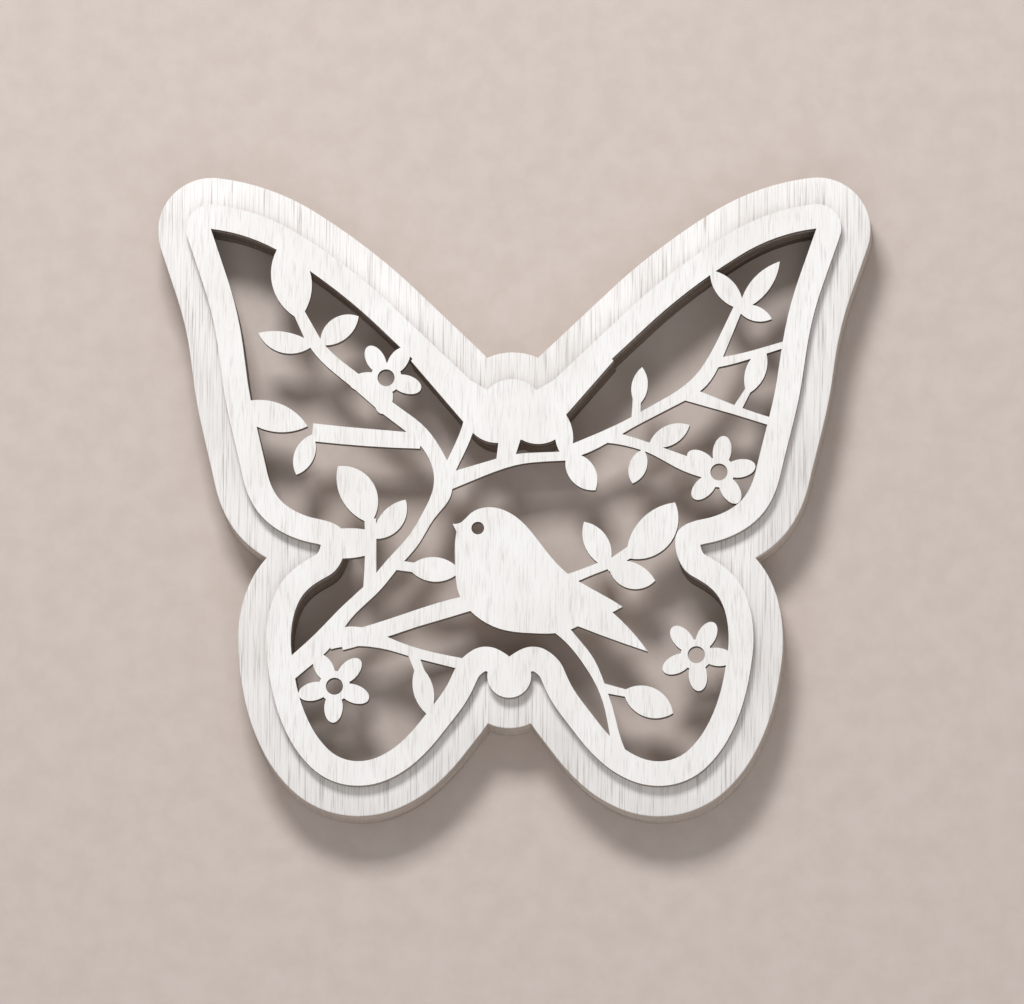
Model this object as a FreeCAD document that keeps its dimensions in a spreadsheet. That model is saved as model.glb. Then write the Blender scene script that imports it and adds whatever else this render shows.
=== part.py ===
import FreeCAD, Part
import math
import os
import Sketcher

# A layered butterfly plaque, sawn from two boards. It lies on its back: X runs across the
# wings, Y from tail to head, Z up out of its face. The thick back plate is a ring with one
# large window. The thin fretwork on top has a border, a bird, stems, leaves and flowers.

# Driving sizes in millimetres, each with the note that stands beside it in the sheet.
SIZES = (
    ("wing_span", 179.0, "back plate, from wing tip to wing tip"),
    ("plate_thickness", 12.0, "back plate"),
    ("fretwork_thickness", 2.5, "front fretwork"),
    ("ledge_width", 7.3, "plate left showing round the fretwork"),
    ("border_width", 6.2, "rim of the fretwork, from the window to its outer edge"),
    ("head_radius", 8.0, "round head of the fretwork"),
    ("tail_radius", 5.5, "round tail lobe of the fretwork"),
    ("stem_width", 3.6, "usual stem, as drawn"),
    ("leaf_width", 6.0, "belly of a full leaf either side of its middle line, as drawn"),
    ("petal_reach", 9.2, "flower centre to the end of a petal, as drawn"),
    ("petal_width", 4.6, "petal at its widest, as drawn"),
    ("flower_hole", 4.3, "diameter of the hole in a flower"),
    ("eye_hole", 3.2, "diameter of the bird's eye"),
)

# The pattern was drawn at full size. Its points are millimetres from the middle of the
# butterfly, and pattern() fits them to the wing span. Only the right half of the window
# is drawn, from under the head, round both wings, to the cusp above the tail.
WINDOW_TOP = ((0.0, 18.0), (11.3, 20.6))
UPPER_EDGE = (
    (11.3, 20.6), (17.7, 27.2), (26.5, 35.6), (38.9, 47.2), (50.6, 56.3), (56.9, 60.5),
    (66.2, 64.9), (75.8, 67.2),
)
OUTER_EDGE = (
    (75.8, 67.2), (72.6, 57.9), (69.6, 48.2), (67.6, 38.5), (65.8, 26.2), (64.3, 19.2),
    (61.6, 7.9), (58.4, -0.8), (54.6, -4.1), (48.3, -6.5), (43.2, -8.2), (41.3, -10.5),
    (41.1, -12.6), (41.5, -14.9), (43.7, -19.5), (47.7, -22.2), (51.3, -25.1),
    (53.8, -30.3), (54.6, -35.6), (54.3, -40.9), (52.5, -51.0), (49.2, -59.2),
    (43.0, -66.3), (38.2, -67.7), (33.0, -66.8), (27.6, -63.6), (24.0, -59.9),
    (19.1, -53.8), (15.0, -47.6), (12.3, -42.3), (9.4, -39.9), (6.3, -38.8),
    (3.0, -39.5), (0.0, -41.3),
)
HEAD_CENTRE = (0.0, 21.0)
TAIL_CENTRE = (0.0, -46.2)
# The window's curves are drawn as arcs that stay this close to a smooth curve, in mm.
ARC_FIT = 0.08

# Bridge under the head, in both boards. It has two scallops between its corners.
BRIDGE_TOP = ((25.3, 33.6), (23.3, 36.2), (0.0, 22.6), (-23.3, 36.2), (-25.3, 33.6))
BRIDGE_LEFT = ((-12.9, 19.1), (-9.6, 15.3))
LEFT_SCALLOP = ((-9.6, 15.3), (-6.2, 13.2), (-2.9, 12.8))
RIGHT_SCALLOP = ((2.6, 13.6), (6.7, 12.5), (11.0, 13.7))
BRIDGE_RIGHT = ((11.0, 13.7), (12.9, 19.1))

# Each stem is a row of stations: x, y and its width as a share of the usual stem width.
STEMS = (
    ((-49.5, 38.3, 0.9), (-45.7, 33.9, 0.95), (-39.3, 28.7, 1.0), (-30.6, 21.3, 1.05),
     (-23.0, 15.3, 1.1), (-18.8, 9.5, 1.05), (-17.0, 4.1, 1.25), (-17.4, -0.2, 1.3),
     (-20.4, -5.4, 0.9), (-24.4, -12.1, 0.9), (-28.9, -17.3, 0.95), (-33.8, -23.3, 1.0),
     (-41.1, -30.5, 1.05), (-46.0, -36.6, 1.4), (-52.7, -42.9, 1.4),
     (-57.3, -46.9, 1.4)),
    ((13.5, 10.2, 0.85), (21.6, 13.4, 0.95), (29.4, 17.6, 0.7), (35.4, 20.9, 0.75),
     (41.7, 24.4, 0.85), (47.2, 28.6, 1.05), (50.9, 34.5, 0.9), (53.8, 41.0, 0.75),
     (57.0, 48.2, 0.65)),
    ((11.5, -32.9, 1.2), (15.6, -37.2, 0.8), (19.5, -42.1, 0.8), (23.1, -49.2, 0.55),
     (25.0, -54.8, 0.55), (26.8, -62.5, 0.7), (28.2, -66.3, 0.8)),
    ((13.9, -22.1, 0.8), (20.0, -19.6, 0.65), (25.0, -17.6, 0.7)),
    ((-53.9, 46.7, 0.75), (-49.5, 38.1, 1.0)),
    ((-22.7, 13.3, 1.1), (-34.1, 14.0, 1.2), (-49.8, 15.5, 1.25)),
    ((-16.7, 2.6, 1.2), (-9.9, 5.1, 1.0), (-4.4, 7.0, 0.85), (1.4, 8.6, 0.75),
     (7.7, 9.2, 0.65), (13.8, 9.5, 0.65)),
    ((50.1, 33.0, 0.7), (58.2, 34.7, 0.55), (68.0, 37.7, 0.45), (71.3, 38.6, 0.45)),
    ((42.4, 25.7, 1.0), (48.2, 23.7, 0.85), (56.4, 20.9, 0.6), (64.0, 18.4, 0.55),
     (68.5, 17.2, 0.55)),
    ((23.1, 14.4, 0.85), (29.7, 13.1, 0.7), (35.5, 11.1, 0.7), (41.9, 8.2, 1.0),
     (48.0, 6.0, 1.1), (50.5, 5.4, 1.1)),
    ((-35.1, -6.4, 0.8), (-34.9, -16.6, 0.8), (-35.1, -24.8, 0.9)),
    ((-42.2, -37.5, 1.25), (-31.7, -34.5, 1.15), (-24.1, -31.9, 1.15), (-18.1, -30.0, 1.2),
     (-8.2, -27.3, 1.0)),
    ((24.0, -18.7, 0.7), (30.0, -14.7, 0.8)),
    ((23.4, -49.2, 0.65), (29.5, -50.6, 0.5)),
    ((-10.4, 18.6, 0.85), (-11.9, 13.7, 0.85), (-13.5, 10.1, 0.85), (-16.2, 4.1, 0.85)),
    ((-0.2, 15.1, 1.55), (-1.6, 8.4, 1.2)),
    ((59.3, 26.7, 0.4), (55.9, 20.7, 0.65)),
    ((31.2, 24.0, 0.55), (31.1, 18.6, 0.65)),
    ((-47.0, -12.9, 1.7), (-39.8, -12.6, 2.1), (-35.2, -12.4, 1.7)),
    ((-28.6, -18.1, 0.7), (-22.5, -19.0, 0.65)),
    ((-44.8, -37.3, 1.2), (-35.2, -36.6, 1.2), (-29.6, -38.3, 0.8), (-24.0, -40.2, 0.7),
     (-18.2, -41.7, 0.7), (-9.5, -43.7, 0.85)),
    ((-24.3, -40.1, 0.7), (-22.2, -45.4, 0.65)),
)

# Each leaf runs from a base to a tip. Its two bellies, left and right of that line, are
# shares of the leaf width.
LEAVES = (
    ((-53.4, 44.2), (-57.5, 64.4), 0.83, 0.83),
    ((-49.5, 37.8), (-63.6, 40.7), 0.62, 0.27),
    ((-51.0, 17.0), (-69.6, 22.2), 0.62, 0.62),
    ((13.8, 8.1), (12.4, 21.4), 0.38, 0.38),
    ((57.6, 46.6), (49.3, 56.6), 0.42, 0.42),
    ((55.9, 47.2), (64.8, 44.2), 0.32, 0.32),
    ((58.8, 25.1), (63.0, 37.0), 0.42, 0.42),
    ((31.3, 22.0), (32.5, 32.0), 0.34, 0.34),
    ((34.2, 12.0), (44.5, 17.3), 0.42, 0.42),
    ((-35.0, -7.6), (-43.3, 6.9), 0.55, 0.92),
    ((-25.5, -18.8), (-12.4, -19.7), 0.52, 0.52),
    ((-19.8, -56.4), (-23.0, -43.1), 0.42, 0.42),
    ((24.5, -18.9), (18.3, -7.2), 0.45, 0.55),
    ((28.5, -49.9), (40.9, -55.6), 0.63, 0.62),
    ((-48.0, 37.6), (-38.5, 44.9), 0.57, 0.42),
    ((-49.7, 15.0), (-53.7, 4.7), 0.42, 0.42),
    ((14.0, 10.2), (21.1, 0.8), 0.55, 0.55),
    ((56.6, 46.2), (66.7, 58.8), 0.4, 0.4),
    ((33.0, 11.2), (30.3, 2.5), 0.37, 0.37),
    ((-34.2, -11.5), (-26.3, -1.6), 0.4, 0.57),
    ((24.5, -17.4), (36.2, -22.1), 0.38, 0.72),
    ((29.0, -16.3), (41.0, -2.3), 0.6, 0.97),
)

# Each flower has a middle and the directions of its five petals in degrees.
FLOWERS = (
    ((-31.5, 29.3), (55, 120, 190, 264, 342)),
    ((51.9, 5.4), (10, 82, 148, 226, 302)),
    ((-43.6, -48.8), (47, 120, 194, 268, 339)),
    ((46.6, -40.8), (62, 131, 206, 275, 354)),
)

# A petal's length and the radius of the flower's middle, as shares of the petal reach.
PETAL_LENGTH_SHARE = 0.84
MIDDLE_SHARE = 0.42

# The bird's outline, in stretches that each end at a corner.
BIRD = (
    ((-13.5, -9.7), (-14.5, -7.7)),
    ((-14.5, -7.7), (-12.2, -7.2), (-10.3, -5.3), (-5.3, -3.5), (1.1, -5.8), (7.9, -13.3),
     (14.3, -20.3), (21.4, -24.7), (28.1, -28.7)),
    ((28.1, -28.7), (25.6, -30.1)),
    ((25.6, -30.1), (31.5, -36.1), (34.5, -40.0)),
    ((34.5, -40.0), (23.7, -36.2), (17.0, -33.6)),
    ((17.0, -33.6), (12.0, -35.3), (5.9, -35.4), (-2.4, -34.3), (-9.4, -30.2),
     (-12.3, -26.5), (-13.8, -17.5), (-13.9, -13.6), (-13.5, -9.7)),
)
EYE = (-8.2, -8.8)

UP = FreeCAD.Vector(0, 0, 1)


def make_sheet(doc):
    """Writes the driving sizes into the sheet, one row each."""
    sheet = doc.addObject("Spreadsheet::Sheet", "sizes")
    for row, (name, value, note) in enumerate(SIZES, start=1):
        sheet.set("A%d" % row, name)
        sheet.set("B%d" % row, "%g" % value)
        sheet.set("C%d" % row, note)
        sheet.setAlias("B%d" % row, name)
    doc.recompute()
    return sheet


def at(point):
    return FreeCAD.Vector(point[0], point[1], 0)


def smooth(points):
    """A smooth line through the points; two points give a straight one."""
    if len(points) == 2:
        return [Part.LineSegment(at(points[0]), at(points[1]))]
    curve = Part.BSplineCurve()
    curve.interpolate([at(point) for point in points])
    return [curve]


def arc(start, middle, end):
    return [Part.ArcOfCircle(at(start), at(middle), at(end))]


def mirrored(points):
    """The same points on the other side of the centre line, in running order."""
    return [(-x, y) for x, y in reversed(points)]


def window_curves(fit):
    """The loop of the window: the drawn half, then its mirror image."""
    top = fit(WINDOW_TOP)
    edges = [fit(UPPER_EDGE), fit(OUTER_EDGE)]
    curves = smooth(top)
    for stretch in edges + [mirrored(edge) for edge in reversed(edges)]:
        curves += smooth(stretch)[0].toBiArcs(ARC_FIT)
    return curves + smooth(mirrored(top))


def bridge_curves(fit):
    """The loop of the bridge under the head."""
    top = fit(BRIDGE_TOP)
    left = fit(BRIDGE_LEFT)
    right = fit(BRIDGE_RIGHT)
    left_scallop = fit(LEFT_SCALLOP)
    right_scallop = fit(RIGHT_SCALLOP)
    sides = sum([smooth(pair) for pair in zip(top, top[1:])], [])
    sides += smooth((top[-1], left[0])) + smooth(left) + arc(*left_scallop)
    sides += smooth((left_scallop[-1], right_scallop[0])) + arc(*right_scallop)
    sides += smooth(right) + smooth((right[-1], top[0]))
    return sides


def stem_curves(stations, fit, stem_width):
    """The loop of a stem: two long edges, half its width either side, and flat ends."""
    line = fit([(x, y) for x, y, share in stations])
    left = []
    right = []
    for index, (x, y) in enumerate(line):
        before = line[max(index - 1, 0)]
        after = line[min(index + 1, len(line) - 1)]
        run = math.hypot(after[0] - before[0], after[1] - before[1])
        half = stations[index][2] * stem_width / 2
        aside = ((before[1] - after[1]) * half / run, (after[0] - before[0]) * half / run)
        left.append((x + aside[0], y + aside[1]))
        right.append((x - aside[0], y - aside[1]))
    right.reverse()
    return (smooth(left) + smooth((left[-1], right[0]))
            + smooth(right) + smooth((right[-1], left[0])))


def leaf_curves(leaf, fit, leaf_width):
    """The loop of a leaf: two arcs from base to tip, each with its own belly."""
    base, tip = fit(leaf[:2])
    length = math.hypot(tip[0] - base[0], tip[1] - base[1])
    across = ((base[1] - tip[1]) / length, (tip[0] - base[0]) / length)
    middle = ((base[0] + tip[0]) / 2, (base[1] + tip[1]) / 2)
    left, right = [share * leaf_width for share in leaf[2:]]
    left_belly = (middle[0] + across[0] * left, middle[1] + across[1] * left)
    right_belly = (middle[0] - across[0] * right, middle[1] - across[1] * right)
    return arc(base, left_belly, tip) + arc(tip, right_belly, base)


def flower_loops(flower, fit, petal_reach, petal_width):
    """The loops of a flower: a round middle and five oval petals round it."""
    (centre,), directions = fit(flower[:1]), flower[1]
    half_length = PETAL_LENGTH_SHARE * petal_reach / 2
    loops = [[Part.Circle(at(centre), UP, MIDDLE_SHARE * petal_reach)]]
    for direction in directions:
        ahead = FreeCAD.Vector(math.cos(math.radians(direction)),
                               math.sin(math.radians(direction)), 0)
        middle = at(centre) + ahead * (petal_reach - half_length)
        side = middle + UP.cross(ahead) * petal_width / 2
        loops.append([Part.Ellipse(at(centre) + ahead * petal_reach, side, middle)])
    return loops


def draw(doc, name, loop):
    """A sketch of one closed loop on the ground plane."""
    sketch = doc.addObject("Sketcher::SketchObject", name)
    sketch.addGeometry(loop, False)
    return sketch


def draw_discs(doc, name, centres, radius_expression):
    """A sketch of circles of one radius, which the sheet sets."""
    sketch = doc.addObject("Sketcher::SketchObject", name)
    for index, (x, y) in enumerate(centres):
        sketch.addGeometry(Part.Circle(at((x, y)), UP, 1.0), False)
        sketch.addConstraint([
            Sketcher.Constraint("DistanceX", -1, 1, index, 3, x),
            Sketcher.Constraint("DistanceY", -1, 1, index, 3, y),
        ])
        radius = sketch.addConstraint(Sketcher.Constraint("Radius", index, 1.0))
        sketch.setExpression("Constraints[%d]" % radius, radius_expression)
    return sketch


def parallel(doc, name, source, distance_expression):
    """A closed line all round the source's, further out."""
    line = doc.addObject("Part::Offset2D", name)
    line.Source = source
    line.Mode = "Pipe"
    line.setExpression("Value", distance_expression)
    return line


def filled(drawings):
    """The areas inside the closed lines of the drawings, all facing up."""
    areas = [Part.Face(wire) for drawing in drawings for wire in drawing.Shape.Wires]
    for area in areas:
        if area.normalAt(0, 0).z < 0:
            area.reverse()
    return areas


def merged(areas):
    """One area that covers what any of the areas covers."""
    pieces = [piece for area in areas for piece in area.Faces]
    return pieces[0].multiFuse(pieces[1:]).removeSplitter()


def sawn(doc, label, area, thickness_name):
    """A board of the named thickness, sawn along the edges of a flat area."""
    shape = doc.addObject("Part::Feature", label + "_area")
    shape.Shape = area
    board = doc.addObject("Part::Extrusion", label)
    board.Base = shape
    board.DirMode = "Custom"
    board.Dir = UP
    board.Solid = True
    board.setExpression("LengthFwd", "sizes.%s" % thickness_name)
    return board


def draw_ring(doc, name, window, pattern, growth):
    """The drawings of a board's outer edge, which stands off the window by the border and,
    with growth, by more: round the wings, the head and the tail."""
    return [
        parallel(doc, name + "_wings", window, "sizes.border_width" + growth),
        draw_discs(doc, name + "_head", pattern([HEAD_CENTRE]), "sizes.head_radius" + growth),
        draw_discs(doc, name + "_tail", pattern([TAIL_CENTRE]), "sizes.tail_radius" + growth),
    ]


def draw_ornaments(doc, pattern, size, scale):
    """The drawings of all that grows inside the window of the fretwork. Widths and petals
    are scaled as the pattern is, so that every stem, leaf and flower stays joined on."""
    stem_width, leaf_width, petal_reach, petal_width = [
        size[name] * scale for name in ("stem_width", "leaf_width", "petal_reach", "petal_width")]
    stems = [stem_curves(row, pattern, stem_width) for row in STEMS]
    leaves = [leaf_curves(leaf, pattern, leaf_width) for leaf in LEAVES]
    petals = [loop for flower in FLOWERS
              for loop in flower_loops(flower, pattern, petal_reach, petal_width)]
    bird = sum([smooth(pattern(stretch)) for stretch in BIRD], [])
    drawings = []
    for name, loops in (("stem", stems), ("leaf", leaves), ("petal", petals), ("bird", [bird])):
        for number, loop in enumerate(loops, start=1):
            drawings.append(draw(doc, "%s_%d" % (name, number), loop))
    return drawings


def make_document():
    """The whole plaque as a document; returns it with its two boards."""
    doc = FreeCAD.newDocument("butterfly_plaque")
    sheet = make_sheet(doc)
    size = {name: float(sheet.get(name)) for name, value, note in SIZES}
    rim_width = size["ledge_width"] + size["border_width"]
    drawn_reach = max(x for x, y in UPPER_EDGE)
    scale = (size["wing_span"] / 2 - rim_width) / drawn_reach

    def pattern(points):
        return [(x * scale, y * scale) for x, y in points]

    window = draw(doc, "window", window_curves(pattern))
    bridge = draw(doc, "bridge", bridge_curves(pattern))
    plate_ring = draw_ring(doc, "plate", window, pattern, " + sizes.ledge_width")
    fretwork_ring = draw_ring(doc, "fretwork", window, pattern, "")
    ornaments = draw_ornaments(doc, pattern, size, scale)
    flower_centres = pattern([centre for centre, petals in FLOWERS])
    holes = [draw_discs(doc, "flower_holes", flower_centres, "sizes.flower_hole / 2"),
             draw_discs(doc, "eye", pattern([EYE]), "sizes.eye_hole / 2")]
    doc.recompute()

    def ring_area(ring):
        rim = merged(filled(ring)).cut(filled([window]))
        return merged([rim] + filled([bridge]))

    blank = merged([ring_area(fretwork_ring)] + filled(ornaments))
    back_plate = sawn(doc, "back_plate", ring_area(plate_ring), "plate_thickness")
    front_fretwork = sawn(doc, "front_fretwork", blank.cut(filled(holes)),
                          "fretwork_thickness")
    doc.recompute()

    # The origin is under the middle of the plate, and the fretwork lies on the plate.
    plate_box = back_plate.Shape.BoundBox
    for board in (back_plate, front_fretwork):
        board.Placement.Base = FreeCAD.Vector(-plate_box.Center.x, -plate_box.Center.y, 0)
    front_fretwork.setExpression("Placement.Base.z", "sizes.plate_thickness")
    doc.recompute()
    return doc, (back_plate, front_fretwork)


def check(doc, boards):
    """Stops on a failed object or on a board that isn't one valid solid."""
    for item in doc.Objects:
        if "Invalid" in item.State or "Error" in item.State:
            raise RuntimeError("%s failed: %s" % (item.Name, item.State))
    for board in boards:
        if board.Shape.isNull() or not board.Shape.isValid():
            raise RuntimeError("%s has no valid shape" % board.Label)
        if len(board.Shape.Solids) != 1:
            raise RuntimeError("%s is in %d pieces" % (board.Label, len(board.Shape.Solids)))


def main():
    doc, boards = make_document()
    check(doc, boards)
    os.makedirs("parts", exist_ok=True)
    for board in boards:
        board.Shape.exportStep("parts/%s.step" % board.Label)
        box = board.Shape.BoundBox
        print("%s: %.1f x %.1f x %.1f mm, volume %.1f cm3" % (
            board.Label, box.XLength, box.YLength, box.ZLength, board.Shape.Volume / 1000))


main()
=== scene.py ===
import math

import bmesh
import bpy
from mathutils import Matrix, Vector


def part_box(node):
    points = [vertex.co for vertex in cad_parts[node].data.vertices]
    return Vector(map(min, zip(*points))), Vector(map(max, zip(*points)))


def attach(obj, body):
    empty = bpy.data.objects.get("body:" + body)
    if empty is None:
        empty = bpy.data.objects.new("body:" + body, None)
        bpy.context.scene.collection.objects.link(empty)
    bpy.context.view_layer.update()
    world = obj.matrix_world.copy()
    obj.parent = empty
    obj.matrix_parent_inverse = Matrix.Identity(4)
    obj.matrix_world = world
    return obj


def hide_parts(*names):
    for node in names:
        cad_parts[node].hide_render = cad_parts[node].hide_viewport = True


MM = 0.001

# The upper arrises of both boards are broken with sandpaper by this much.
PLATE_ARRIS = 0.30 * MM
FRETWORK_ARRIS = 0.16 * MM
ARRIS_SEGMENTS = 2

# Triangles that meet flatter than this are one face of the board.
FLAT_ANGLE = math.radians(1.0)
# Vertices of a flat face may stand off it by this much before they are made level.
LEVEL_SLACK = 0.02 * MM
# Vertices closer than this are one vertex.
MERGE_DISTANCE = 0.0005 * MM
# Edges that turn by more than this can be an arris.
ARRIS_ANGLE = math.radians(50.0)
# Walls turn smoothly up to this angle, and show an edge past it.
SMOOTH_WALL_ANGLE = math.radians(25.0)

# How far the normal of a face points up, by which the kinds of face are told apart.
LEVEL_NORMAL = 0.9
UPRIGHT_NORMAL = 0.1
ARRIS_NORMAL = 0.25

# Places of the four finishes in a board's list of materials.
FACE, OPENING, BACK, RIM = range(4)

# The camera stands this far off, tilted towards the tail and a little to the right.
CAMERA_AZIMUTH = math.radians(17.0)
CAMERA_ELEVATION = math.radians(79.6)
CAMERA_DISTANCE = 6.0
LOOK_AT = Vector((0.00015, -0.0015, 0.012))
# The picture takes in this much of the plaque's width at the fretwork.
PICTURE_WIDTH = 0.2562
SENSOR_WIDTH = 36.0

FLOOR_HALF_WIDTH = 1.5
# The floor lies this little under the plaque, so that the two faces don't share a place.
FLOOR_DROP = 0.02 * MM

SKY_COLOUR = "#F4F1EE"
SKY_STRENGTH = 0.40


def colour(hex_text):
    """An sRGB hex colour as linear red, green, blue and alpha."""
    channels = [int(hex_text[i:i + 2], 16) / 255 for i in (1, 3, 5)]
    linear = [c / 12.92 if c <= 0.04045 else ((c + 0.055) / 1.055) ** 2.4 for c in channels]
    return (*linear, 1.0)


def fill_inputs(material, node, values):
    """Sets each input of a node, or links it where the value is another node's socket. An
    input goes by its name or, where several in use share one name, by its place."""
    for key, value in values.items():
        if isinstance(key, int):
            socket = node.inputs[key]
        else:
            socket = next(s for s in node.inputs if s.name == key and s.enabled)
        if isinstance(value, bpy.types.NodeSocket):
            material.node_tree.links.new(value, socket)
        else:
            socket.default_value = value


def add_node(material, kind, values, output=None, **settings):
    """Adds a node with its settings, fills its inputs and returns its output in use."""
    node = material.node_tree.nodes.new(kind)
    for name, value in settings.items():
        setattr(node, name, value)
    fill_inputs(material, node, values)
    return node.outputs[output] if output else next(s for s in node.outputs if s.enabled)


def finished_material(name, build):
    """A material whose shader takes the values that build works out for it."""
    material = bpy.data.materials.new(name)
    material.use_nodes = True
    shader = material.node_tree.nodes["Principled BSDF"]
    fill_inputs(material, shader, build(material))
    return material


def stretched_pattern(material, size_mm, detail):
    """Cloudy pattern in object space whose patches are size_mm across along X, Y and Z."""
    place = add_node(material, "ShaderNodeTexCoord", {}, output="Object")
    spread = add_node(material, "ShaderNodeMapping", {
        "Vector": place, "Scale": [1 / (size * MM) for size in size_mm]})
    return add_node(material, "ShaderNodeTexNoise", {
        "Vector": spread, "Scale": 1.0, "Detail": detail, "Roughness": 0.6})


def whitewashed_face(name, paint, cloud, streak, streak_strength, streak_length):
    """Thin white wash wiped along the grain of sanded board. The eye sees fine upright
    streaks where the grain takes less wash, and slow patches of thicker and thinner white."""
    def build(material):
        # Pores are nearer 0.15 mm wide, too fine to show, so the fine streaks are wider.
        fine = stretched_pattern(material, (0.34, streak_length, 3.0), 5.0)
        broad = stretched_pattern(material, (1.3, 2.1 * streak_length, 6.0), 3.0)
        patches = stretched_pattern(material, (16.0, 30.0, 16.0), 2.0)
        fine_streaks = add_node(material, "ShaderNodeMapRange", {
            "Value": fine, "From Min": 0.44, "From Max": 0.70}, interpolation_type="SMOOTHSTEP")
        broad_streaks = add_node(material, "ShaderNodeMapRange", {
            "Value": broad, "From Min": 0.38, "From Max": 0.64}, interpolation_type="SMOOTHSTEP")
        clusters = add_node(material, "ShaderNodeMath", {0: fine_streaks, 1: broad_streaks},
                            operation="MULTIPLY")
        # Streaks between the clusters stay, but fainter.
        worn = add_node(material, "ShaderNodeMath", {0: fine_streaks, 1: 0.35, 2: clusters},
                        operation="MULTIPLY_ADD", use_clamp=True)
        streaked = add_node(material, "ShaderNodeMath", {0: worn, 1: streak_strength},
                            operation="MULTIPLY")
        thinner = add_node(material, "ShaderNodeMapRange", {
            "Value": patches, "From Min": 0.35, "From Max": 0.68}, interpolation_type="SMOOTHSTEP")
        wash = add_node(material, "ShaderNodeMix", {
            "Factor": thinner, "A": colour(paint), "B": colour(cloud)}, data_type="RGBA")
        return {
            "Base Color": add_node(material, "ShaderNodeMix", {
                "Factor": streaked, "A": wash, "B": colour(streak)}, data_type="RGBA"),
            "Roughness": add_node(material, "ShaderNodeMapRange", {
                "Value": worn, "To Min": 0.56, "To Max": 0.74}, interpolation_type="SMOOTHSTEP"),
            "Specular IOR Level": 0.32,
            "Normal": add_node(material, "ShaderNodeBump", {
                "Height": fine, "Strength": 0.22, "Distance": 0.08 * MM}),
        }
    return finished_material(name, build)


def sawn_edge(name, light, dark):
    """Cut edge of layered board. The eye sees thin level plies and
    fine upright saw marks across them. Each board takes a darker copy in its openings,
    which is painted shade, and a lighter copy on its rim, which is painted bounce light."""
    def build(material):
        plies = stretched_pattern(material, (40.0, 40.0, 0.85), 2.0)
        saw_marks = stretched_pattern(material, (0.5, 0.5, 9.0), 4.0)
        pale_plies = add_node(material, "ShaderNodeMapRange", {
            "Value": plies, "From Min": 0.36, "From Max": 0.62}, interpolation_type="SMOOTHSTEP")
        plain = add_node(material, "ShaderNodeMix", {
            "Factor": pale_plies, "A": colour(dark), "B": colour(light)}, data_type="RGBA")
        scored = add_node(material, "ShaderNodeMapRange", {
            "Value": saw_marks, "From Min": 0.38, "From Max": 0.66, "To Max": 0.4},
            interpolation_type="SMOOTHSTEP")
        return {
            "Base Color": add_node(material, "ShaderNodeMix", {
                "Factor": scored, "A": plain, "B": colour(dark)}, data_type="RGBA"),
            "Roughness": 0.78,
            "Specular IOR Level": 0.2,
            "Normal": add_node(material, "ShaderNodeBump", {
                "Height": saw_marks, "Strength": 0.3, "Distance": 0.1 * MM}),
        }
    return finished_material(name, build)


def bare_back(name):
    """Unpainted underside of the board. The eye sees pale brown wood with long soft grain."""
    def build(material):
        grain = stretched_pattern(material, (0.9, 45.0, 5.0), 5.0)
        dark_grain = add_node(material, "ShaderNodeMapRange", {
            "Value": grain, "From Min": 0.36, "From Max": 0.66}, interpolation_type="SMOOTHSTEP")
        return {
            "Base Color": add_node(material, "ShaderNodeMix", {
                "Factor": dark_grain, "A": colour("#C9B59A"), "B": colour("#A98F70")},
                data_type="RGBA"),
            "Roughness": 0.75,
            "Specular IOR Level": 0.2,
            "Normal": add_node(material, "ShaderNodeBump", {
                "Height": grain, "Strength": 0.2, "Distance": 0.1 * MM}),
        }
    return finished_material(name, build)


def matt_card(name):
    """Pale uncoated card, pressed flat. The eye sees an even tone with a very faint mottle."""
    def build(material):
        mottle = stretched_pattern(material, (7.0, 7.0, 7.0), 4.0)
        paler = add_node(material, "ShaderNodeMapRange", {
            "Value": mottle, "From Min": 0.3, "From Max": 0.7}, interpolation_type="SMOOTHSTEP")
        return {
            "Base Color": add_node(material, "ShaderNodeMix", {
                "Factor": paler, "A": colour("#C9BDB6"), "B": colour("#CEC3BD")},
                data_type="RGBA"),
            "Roughness": 0.92,
            "Specular IOR Level": 0.1,
        }
    return finished_material(name, build)


def add_object(name, data):
    """A new object in the scene."""
    thing = bpy.data.objects.new(name, data)
    bpy.context.scene.collection.objects.link(thing)
    return thing


def make_level(board, heights):
    """Sets every vertex that lies at one of the board's two flat faces exactly on it."""
    for vertex in board.verts:
        for height in heights:
            if abs(vertex.co.z - height) < LEVEL_SLACK:
                vertex.co.z = height


def upper_arrises(board):
    """The edges where the board's upper face meets a wall."""
    return [edge for edge in board.edges
            if edge.is_manifold and edge.calc_face_angle(0.0) > ARRIS_ANGLE
            and (edge.link_faces[0].normal.z > LEVEL_NORMAL)
            != (edge.link_faces[1].normal.z > LEVEL_NORMAL)]


def rim_faces(board):
    """The upright faces of the outer outline, walked round from the board's widest point."""
    upright = {face for face in board.faces if abs(face.normal.z) < UPRIGHT_NORMAL}
    waiting = [max(upright, key=lambda face: abs(face.calc_center_median().x))]
    found = set(waiting)
    while waiting:
        for edge in waiting.pop().edges:
            for neighbour in edge.link_faces:
                if neighbour in upright and neighbour not in found:
                    found.add(neighbour)
                    waiting.append(neighbour)
    return found


def give_finishes(board):
    """Chooses the finish of each face of a board from where it is and which way it points."""
    rim = rim_faces(board)
    for face in board.faces:
        face.smooth = abs(face.normal.z) < UPRIGHT_NORMAL
        if face.normal.z > ARRIS_NORMAL:
            face.material_index = FACE
        elif face.normal.z < -LEVEL_NORMAL:
            face.material_index = BACK
        else:
            # Rim faces take the lighter sawn-edge copy (painted bounce light), opening walls the
            # darker one (painted shade).
            face.material_index = RIM if face in rim else OPENING


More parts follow.
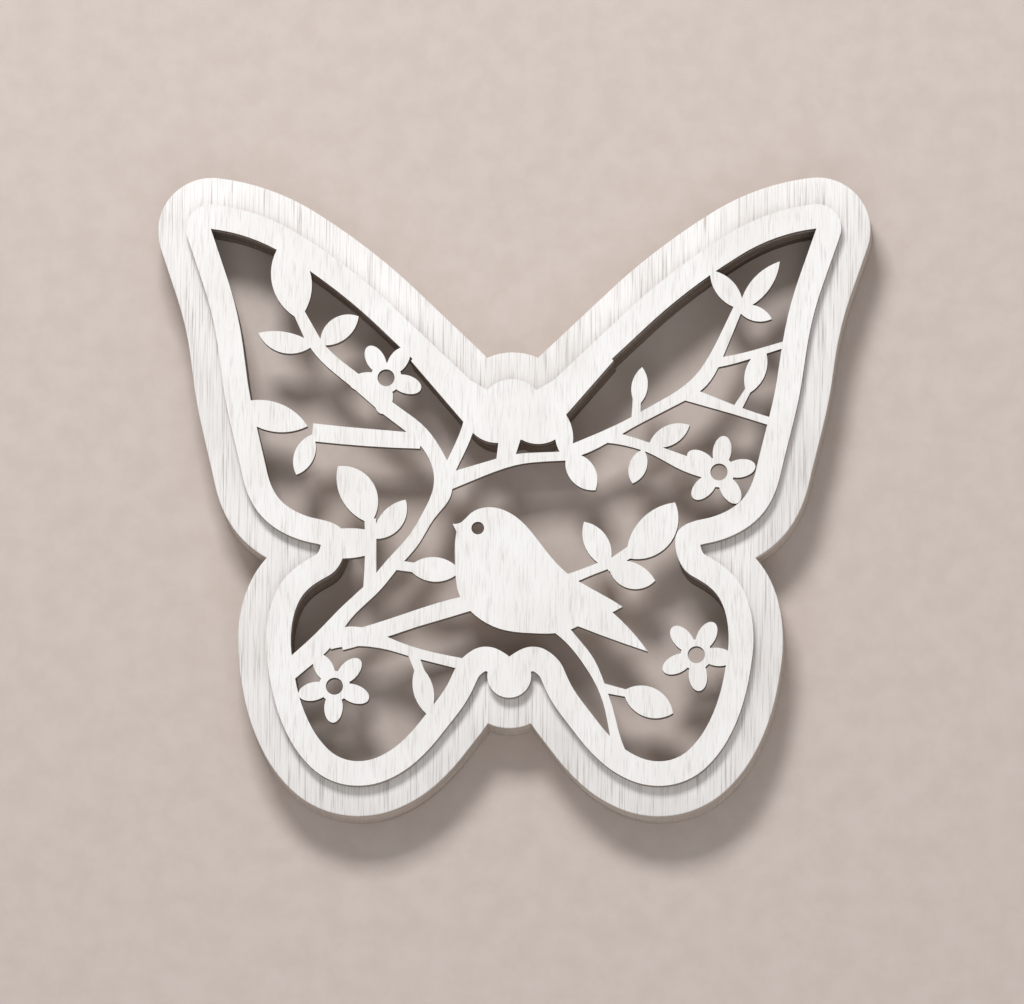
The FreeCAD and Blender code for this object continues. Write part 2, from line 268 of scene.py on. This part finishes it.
def finished_board(node_name, materials, arris):
    """A board with broken arrises in place of the plain one. Its face, its sawn openings,
    its back and its rim each get a material of their own."""
    board = bmesh.new()
    board.from_mesh(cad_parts[node_name].data)
    bmesh.ops.remove_doubles(board, verts=board.verts, dist=MERGE_DISTANCE)
    low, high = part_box(node_name)
    heights = (low[2], high[2])
    make_level(board, heights)
    bmesh.ops.dissolve_limit(board, angle_limit=FLAT_ANGLE, verts=board.verts,
                             edges=board.edges, delimit={"NORMAL"})
    board.normal_update()
    bmesh.ops.bevel(board, geom=upper_arrises(board), offset=arris, offset_type="OFFSET",
                    affect="EDGES", segments=ARRIS_SEGMENTS, profile=0.5, material=-1,
                    clamp_overlap=True)
    make_level(board, heights)
    board.normal_update()
    give_finishes(board)
    mesh = bpy.data.meshes.new(node_name + "_finished")
    board.to_mesh(mesh)
    board.free()
    # Normals kept from the plain board would shade the new faces in steps.
    if "custom_normal" in mesh.attributes:
        mesh.attributes.remove(mesh.attributes["custom_normal"])
    for material in materials:
        mesh.materials.append(material)
    mesh.set_sharp_from_angle(angle=SMOOTH_WALL_ANGLE)
    piece = add_object(node_name + "_finished", mesh)
    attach(piece, "root")
    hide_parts(node_name)


def add_floor():
    """A wide pale floor that the plaque lies on."""
    sheet = bmesh.new()
    bmesh.ops.create_grid(sheet, x_segments=1, y_segments=1, size=FLOOR_HALF_WIDTH,
                          matrix=Matrix.Translation((0.0, 0.0, -FLOOR_DROP)))
    mesh = bpy.data.meshes.new("floor")
    sheet.to_mesh(mesh)
    sheet.free()
    mesh.materials.append(matt_card("pale matt card"))
    add_object("floor", mesh)


def add_light(name, place, width, height, watts):
    """A soft box of light that shines at the plaque."""
    lamp = bpy.data.lights.new(name, "AREA")
    lamp.shape = "RECTANGLE"
    lamp.size = width
    lamp.size_y = height
    lamp.energy = watts
    light = add_object(name, lamp)
    light.location = place
    light.rotation_euler = (LOOK_AT - Vector(place)).to_track_quat("-Z", "Y").to_euler()


def add_camera():
    """A long lens above the plaque at the photograph's angle."""
    direction = Vector((
        math.sin(CAMERA_AZIMUTH) * math.cos(CAMERA_ELEVATION),
        -math.cos(CAMERA_AZIMUTH) * math.cos(CAMERA_ELEVATION),
        math.sin(CAMERA_ELEVATION)))
    data = bpy.data.cameras.new("camera")
    data.sensor_width = SENSOR_WIDTH
    data.lens = SENSOR_WIDTH * CAMERA_DISTANCE / PICTURE_WIDTH
    camera = add_object("camera", data)
    camera.location = LOOK_AT + direction * CAMERA_DISTANCE
    # The picture's left and right are the plaque's, so the wings lie level in it.
    up = direction.cross(Vector((1, 0, 0))).normalized()
    right = up.cross(direction)
    camera.rotation_euler = Matrix([right, up, direction]).transposed().to_euler()
    bpy.context.scene.camera = camera


def set_surroundings():
    """Even pale light from all round, and plain colour handling."""
    world = bpy.data.worlds.new("studio")
    bpy.context.scene.world = world
    world.use_nodes = True
    background = world.node_tree.nodes["Background"]
    background.inputs["Color"].default_value = colour(SKY_COLOUR)
    background.inputs["Strength"].default_value = SKY_STRENGTH
    bpy.context.scene.view_settings.view_transform = "Standard"


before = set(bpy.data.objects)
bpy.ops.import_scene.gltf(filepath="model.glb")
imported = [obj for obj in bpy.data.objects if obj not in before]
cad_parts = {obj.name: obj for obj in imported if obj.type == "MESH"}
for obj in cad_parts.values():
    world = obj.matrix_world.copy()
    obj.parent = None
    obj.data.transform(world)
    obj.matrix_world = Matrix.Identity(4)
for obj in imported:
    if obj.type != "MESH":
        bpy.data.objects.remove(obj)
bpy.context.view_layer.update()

finished_board("back_plate", [
    whitewashed_face("whitewashed plate board, brushed on", paint="#F2F0EF", cloud="#EAE7E5",
                     streak="#A2978F", streak_strength=0.64, streak_length=16.0),
    # Darker copy of the sawn edge in the window: painted shade on the cut plies.
    sawn_edge("sawn plate window, painted shade, layered board", light="#9C8F85", dark="#6C6057"),
    bare_back("bare back of the plate board"),
    # Lighter copy of the sawn edge on the rim: painted bounce light on the cut plies.
    sawn_edge("sawn plate rim, painted bounce light", light="#D9D0C8", dark="#B1A59C"),
], PLATE_ARRIS)
finished_board("front_fretwork", [
    whitewashed_face("whitewashed fretwork board, brushed on", paint="#F5F4F3", cloud="#EEECEA",
                     streak="#B9B1AB", streak_strength=0.42, streak_length=6.0),
    # Darker copy of the sawn edge in the openings: painted shade on the cut plies.
    sawn_edge("sawn fretwork openings, painted shade, thin board", light="#9C8F85", dark="#6C6057"),
    bare_back("bare back of the fretwork board"),
    # Lighter copy of the sawn edge on the rim: painted bounce light on the cut plies.
    sawn_edge("sawn fretwork rim, painted bounce light", light="#B8ADA5", dark="#8B7F76"),
], FRETWORK_ARRIS)

add_floor()
add_light("window light", place=(-0.2, 0.8, 0.92), width=0.42, height=0.34, watts=11.3)
add_light("front fill", place=(0.2, -0.7, 1.1), width=0.9, height=0.9, watts=2.9)
add_camera()
set_surroundings()
